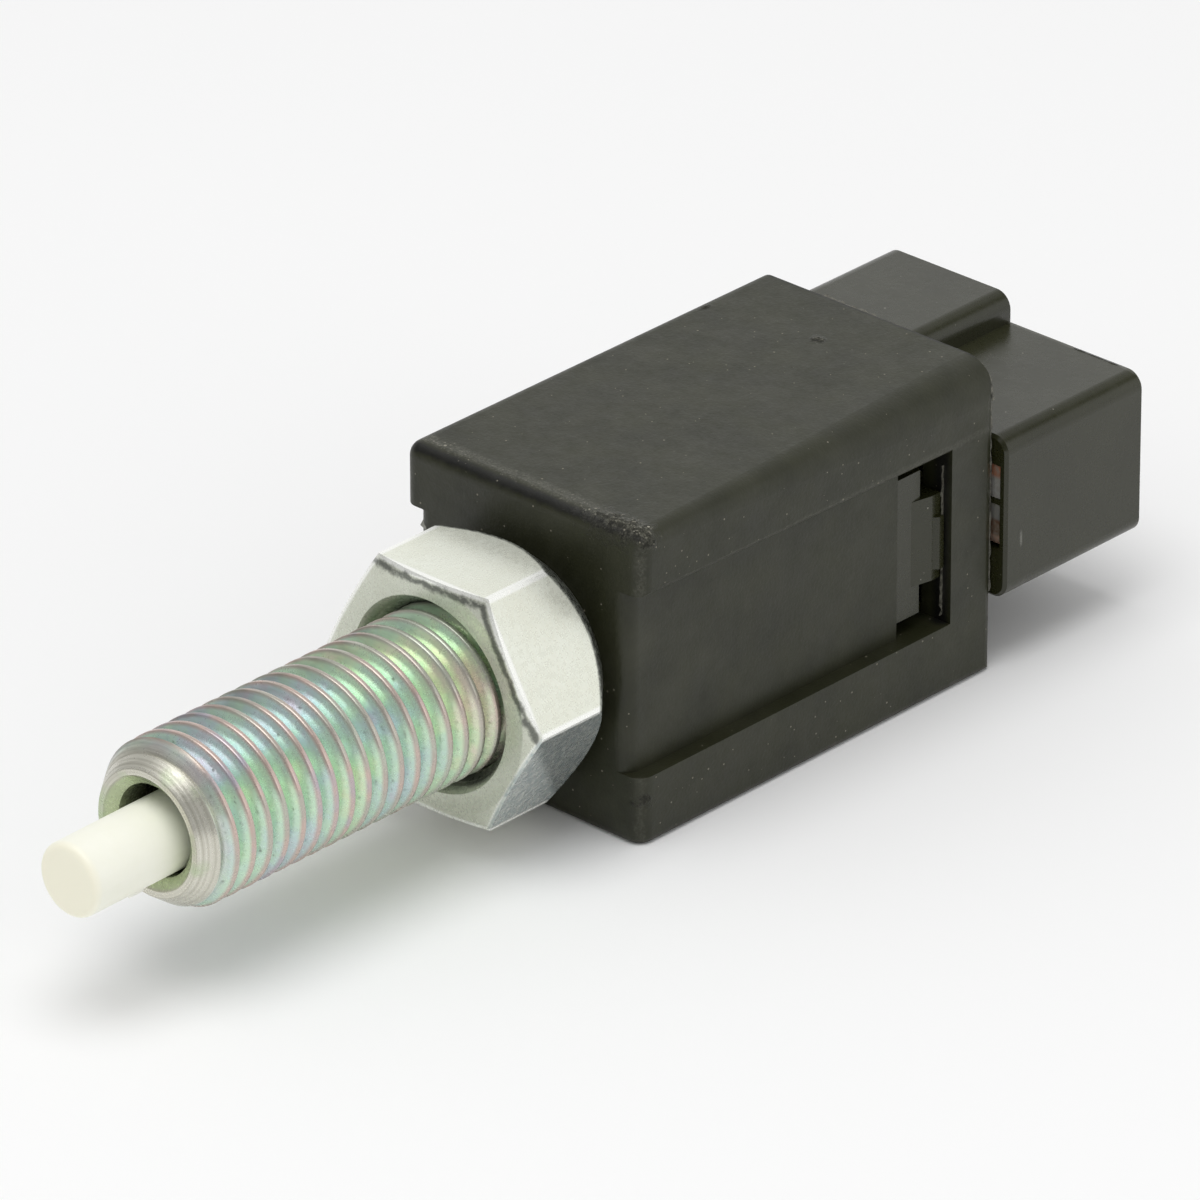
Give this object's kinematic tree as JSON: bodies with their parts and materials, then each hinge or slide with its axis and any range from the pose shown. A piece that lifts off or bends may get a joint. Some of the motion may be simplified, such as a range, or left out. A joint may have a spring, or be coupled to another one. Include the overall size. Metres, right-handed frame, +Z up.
{
  "type": "clutch switch",
  "caption": "Plunger switch for a clutch pedal: threaded barrel with lock nut, moulded case and a keyed rear plug socket with blade terminals.",
  "frame": {"origin": "middle of the switch's length and width, on the surface its case rests on", "axes": "+Y along the barrel axis from the plunger to the plug socket, +Z up, +X to the right seen from the plunger end"},
  "size_m": [0.019, 0.075, 0.0188],
  "materials": {
    "case_plastic": "fine moulded grain, dusty, worn on its front edge",
    "base_plastic": "smooth moulded, half gloss",
    "barrel_zinc": "yellow iridescent zinc plate",
    "nut_zinc": "bright zinc plate",
    "ivory_plastic": "smooth",
    "slider_plastic": "smooth",
    "copper_strip": "rolled strip",
    "spring_steel": "drawn wire",
    "tinned_brass": "tin plated sheet"
  },
  "bodies": {
    "case": {"case": "case_plastic", "threaded_sleeve": "barrel_zinc", "connector_base": "base_plastic", "terminal_left": "tinned_brass", "terminal_right": "tinned_brass", "return_spring": "spring_steel"},
    "plunger": {"plunger": "ivory_plastic", "contact_slider": "slider_plastic", "contact_bridge": "copper_strip", "contact_spring": "spring_steel"},
    "lock_nut": {"lock_nut": "nut_zinc"}
  },
  "joints": [
    {"name": "plunger_slide", "type": "slide", "parent": "case", "child": "plunger", "axis": [0, 0.9999, 0.014], "range_m": [0, 0.005], "stiffness_N_per_m": 400, "springref_m": -0.005, "deforming": ["return_spring"]},
    {"name": "nut_travel", "type": "slide", "parent": "case", "child": "lock_nut", "axis": [0, -1, 0], "range_m": [0, 0.019]}
  ]
}
